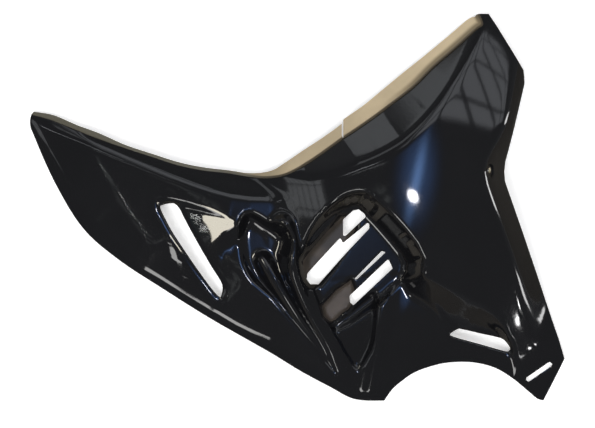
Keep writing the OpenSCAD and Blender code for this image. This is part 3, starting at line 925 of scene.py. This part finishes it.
class StageSettings(bpy.types.PropertyGroup):
    camera_height: bpy.props.FloatProperty(
        name="Camera height", description="Height of the camera over the floor", default=5.0, unit="LENGTH")
    floor_colour: bpy.props.FloatVectorProperty(
        name="Floor", description="Colour of the floor", subtype="COLOR", default=(0.86, 0.86, 0.86))
    floor_glow: bpy.props.FloatProperty(
        name="Floor glow", description="White that the camera sees on the floor beyond its light",
        default=0.5, min=0)
    room_level: bpy.props.FloatProperty(
        name="Room", description="Light of the room from above", default=0.16, min=0)
    horizon_level: bpy.props.FloatProperty(
        name="Horizon", description="Light of the room from the sides", default=0.22, min=0)


class FAIRING_OT_shell(bpy.types.Operator):
    """Build the moulded shell with its forms, flange, vent, slots and seat."""
    bl_idname = "fairing.shell"
    bl_label = "Moulded shell"

    def execute(self, context):
        panel = context.scene.fairing_panel
        shell = build_shell(panel)
        only(shell)
        bpy.ops.object.shade_smooth_by_angle(angle=math.radians(SHELL_SMOOTH))
        hand_over(shell, lacquered_shell(panel))
        return {"FINISHED"}


class FAIRING_OT_fixing_boss(bpy.types.Operator):
    """Build the boss behind the fixing hole, square to the skin."""
    bl_idname = "fairing.fixing_boss"
    bl_label = "Fixing boss"

    def execute(self, context):
        panel = context.scene.fairing_panel
        at, axis = fixing_axis(panel)
        radius = panel.seat_diameter / 2 + BOSS_RIM * MM
        top, deep = panel.seat_depth / MM + BOSS_GAP, panel.seat_depth / MM + BOSS_DEPTH
        middle = (at - axis * (top + deep) / 2) * MM
        deselect()
        bpy.ops.mesh.primitive_cylinder_add(
            vertices=BOSS_SIDES, radius=radius, depth=(deep - top) * MM,
            location=middle, rotation=Vector(axis).to_track_quat("Z", "Y").to_euler())
        boss = context.object
        boss.name = boss.data.name = "fixing_boss"
        bpy.ops.object.mode_set(mode="EDIT")
        bpy.ops.mesh.select_mode(type="FACE")
        bpy.ops.mesh.select_all(action="DESELECT")
        bpy.ops.object.mode_set(mode="OBJECT")
        for face in boss.data.polygons:
            face.select = len(face.vertices) == BOSS_SIDES
        bpy.ops.object.mode_set(mode="EDIT")
        bpy.ops.mesh.inset(thickness=radius - panel.fixing_diameter / 2)
        bpy.ops.mesh.bridge_edge_loops()
        bpy.ops.object.mode_set(mode="OBJECT")
        bevel = boss.modifiers.new("edges", "BEVEL")
        bevel.width, bevel.segments, bevel.limit_method = BOSS_EDGE * MM, 2, "ANGLE"
        bpy.ops.object.modifier_apply(modifier="edges")
        bpy.ops.object.mode_set(mode="EDIT")
        bpy.ops.mesh.select_all(action="SELECT")
        bpy.ops.mesh.normals_make_consistent(inside=False)
        bpy.ops.object.mode_set(mode="OBJECT")
        bpy.ops.object.shade_smooth_by_angle(angle=math.radians(BOSS_SMOOTH))
        hand_over(boss, bare_boss())
        return {"FINISHED"}


# Stage

def seen(px, py):
    """The plan place, in millimetres, that a pixel of the photograph shows."""
    return (px - CENTRE_PX[0]) * PIXEL, (CENTRE_PX[1] - py) * PIXEL


def pale_floor(stage):
    """White floor that keeps the object's shadow and shows plain white in the camera and in gloss."""
    t = Tree("pale_floor")
    camera, glossy, through = (
        t.add("ShaderNodeLightPath", out=f"Is {kind} Ray") for kind in ("Camera", "Glossy", "Transmission"))
    seen_rays = camera.math("MAXIMUM", glossy).math("MAXIMUM", through)
    body = t.add("ShaderNodeBsdfDiffuse", {}, {"Color": (*stage.floor_colour, 1)})
    glow = t.add("ShaderNodeEmission", {}, {"Color": (1, 1, 1, 1), "Strength": seen_rays * stage.floor_glow})
    t.close(t.add("ShaderNodeAddShader", {}, {0: body, 1: glow}))
    return t.material


def room_world(stage):
    """A dim room, paler towards the horizon, behind which the camera sees white."""
    t = Tree("room", worlds=True)
    up = t.along(t.add("ShaderNodeTexCoord", out=0), 2)
    camera_ray = t.add("ShaderNodeLightPath", out=0)
    low = 1 - up.between(0.0, HORIZON_TOP)
    strength = stage.room_level + low * (stage.horizon_level - stage.room_level)
    strength = strength * (1 - camera_ray) + camera_ray
    tint = t.mix((0.97, 1.0, 1.05), (1, 1, 1), camera_ray)
    t.close(t.add("ShaderNodeBackground", {}, {"Color": tint, "Strength": strength}), "ShaderNodeOutputWorld")
    return t.material


def beams(across, count, start, end, dark):
    """What a row of roof beams leaves of a card's light, each one from start to end off its middle."""
    return 1 - dark * ((across * count).math("FRACT") - 0.5).math("ABSOLUTE").between(start, end)


def card_glow(name, colour, soft, kind):
    """Light of a reflector card that fades to its edges: plain, a disc, with roof beams or mottled."""
    t = Tree(name)
    across = t.add("ShaderNodeTexCoord", out=2)
    u, v = t.along(across, 0) - 0.5, t.along(across, 1) - 0.5
    inner = 0.5 * (1 - soft) - 0.001
    if kind == "disc":
        fade = 1 - (u * u + v * v).math("SQRT").between(inner, 0.5)
    else:
        fade = (1 - u.math("ABSOLUTE").between(inner, 0.5)) * (1 - v.math("ABSOLUTE").between(inner, 0.5))
    if kind == "beams":
        fade = fade * beams(u, *ROOF_BEAMS) * beams(v, *CROSS_BEAMS)
    if kind == "mottled":
        fade = fade * t.noise(across, 5.0, 4.0, 0.6).between(0.46, 0.66)
    glow = t.add("ShaderNodeEmission", {}, {"Color": (*(c / max(colour) for c in colour), 1),
                                            "Strength": fade * max(colour)})
    clear = t.add("ShaderNodeBsdfTransparent")
    t.close(t.add("ShaderNodeMixShader", {}, {0: fade.clip(), 1: clear, 2: glow}))
    return t.material


class FAIRING_OT_stage(bpy.types.Operator):
    """Set up the pale floor, the soft lamps, the reflector cards, the room and the camera."""
    bl_idname = "fairing.stage"
    bl_label = "Stage"

    def execute(self, context):
        stage = context.scene.fairing_stage
        deselect()
        bpy.ops.mesh.primitive_plane_add(size=FLOOR_W, location=(0, 0, -FLOOR_GAP))
        floor = context.object
        floor.name = floor.data.name = "floor"
        floor.data.materials.append(pale_floor(stage))
        for name, place, size, tilt, turn, colour, soft, kind in CARDS:
            bpy.ops.mesh.primitive_plane_add(
                size=1, location=place, rotation=(math.radians(tilt), 0, math.radians(turn)))
            card = context.object
            card.name = card.data.name = name
            card.scale = (*size, 1)
            card.data.materials.append(card_glow(name, colour, soft, kind))
            card.visible_camera = card.visible_diffuse = card.visible_shadow = False
            card.visible_transmission = False
        for name, x, y, z, size, power in LAMPS:
            lamp = bpy.data.lights.new(name, "AREA")
            lamp.shape, lamp.size, lamp.energy = "DISK", size, power
            holder = bpy.data.objects.new(name, lamp)
            holder.location = (x, y, z)
            holder.rotation_euler = Vector((x, y, z)).to_track_quat("Z", "Y").to_euler()
            holder.visible_glossy = False
            context.scene.collection.objects.link(holder)
        context.scene.world = room_world(stage)

        view = bpy.data.cameras.new("camera")
        camera = bpy.data.objects.new("camera", view)
        context.scene.collection.objects.link(camera)
        x, y = seen(VIEW_W / 2, VIEW_H / 2)
        camera.location = (x * MM, y * MM, stage.camera_height)
        view.sensor_width = SENSOR_MM
        view.lens = SENSOR_MM * (stage.camera_height - MEASURED_AT) / (VIEW_W * PIXEL * MM)
        view.clip_end = CLIP_END
        context.scene.camera = camera
        context.scene.view_settings.view_transform = "Standard"
        return {"FINISHED"}


class FAIRING_PT_sidebar(bpy.types.Panel):
    bl_label = "Side fairing panel"
    bl_space_type = "VIEW_3D"
    bl_region_type = "UI"
    bl_category = "Fairing"

    def draw(self, context):
        for group in (context.scene.fairing_panel, context.scene.fairing_stage):
            for name in group.__annotations__:
                self.layout.prop(group, name)
        for kind in OPERATORS:
            self.layout.operator(kind.bl_idname)


OPERATORS = (FAIRING_OT_shell, FAIRING_OT_fixing_boss, FAIRING_OT_stage)
CLASSES = (PanelSettings, StageSettings) + OPERATORS + (FAIRING_PT_sidebar,)


def register():
    for kind in CLASSES:
        bpy.utils.register_class(kind)
    bpy.types.Scene.fairing_panel = bpy.props.PointerProperty(type=PanelSettings)
    bpy.types.Scene.fairing_stage = bpy.props.PointerProperty(type=StageSettings)


def unregister():
    del bpy.types.Scene.fairing_stage
    del bpy.types.Scene.fairing_panel
    for kind in reversed(CLASSES):
        bpy.utils.unregister_class(kind)


def main():
    register()
    bpy.ops.fairing.shell()
    bpy.ops.fairing.fixing_boss()
    bpy.ops.fairing.stage()


if __name__ == "__main__":
    main()
